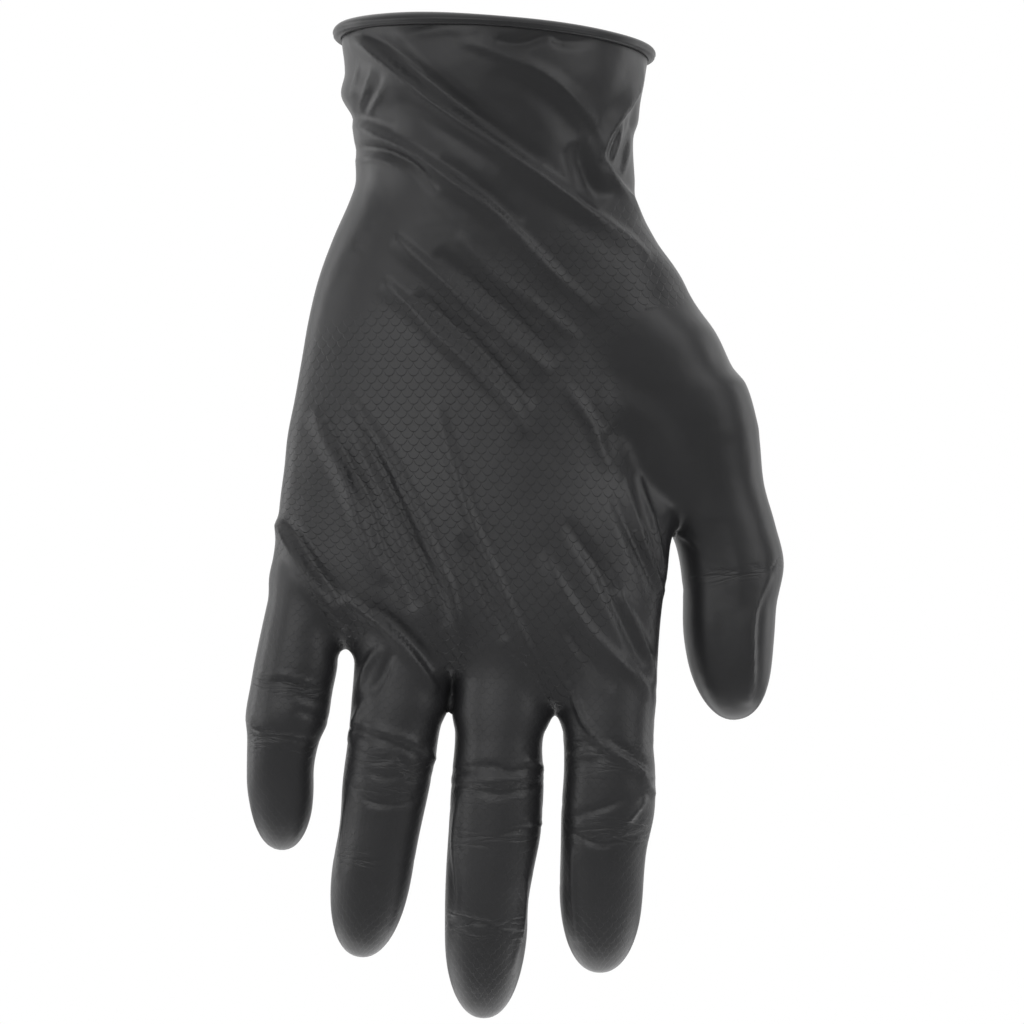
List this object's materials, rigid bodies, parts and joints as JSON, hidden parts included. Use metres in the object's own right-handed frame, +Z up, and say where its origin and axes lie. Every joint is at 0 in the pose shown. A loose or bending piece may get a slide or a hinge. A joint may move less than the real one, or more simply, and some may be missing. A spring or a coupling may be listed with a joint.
{
  "type": "nitrile exam glove",
  "caption": "Thin black disposable glove in its worn form, with a rolled cuff bead, drag folds, finger and thumb stalls and a raised grip texture.",
  "frame": {"origin": "the centre of the wrist opening, level with the middle of its rolled rim", "axes": "+Z runs up the forearm and the fingers hang towards -Z; -Y is the back of the hand; +X is the thumb side"},
  "size_m": [0.1246, 0.0566, 0.2288],
  "materials": {
    "nitrile": "satin black dipped nitrile film with a fine raised grip texture on the hand and fingers"
  },
  "bodies": {
    "root": {"glove_film": "nitrile"}
  },
  "joints": []
}
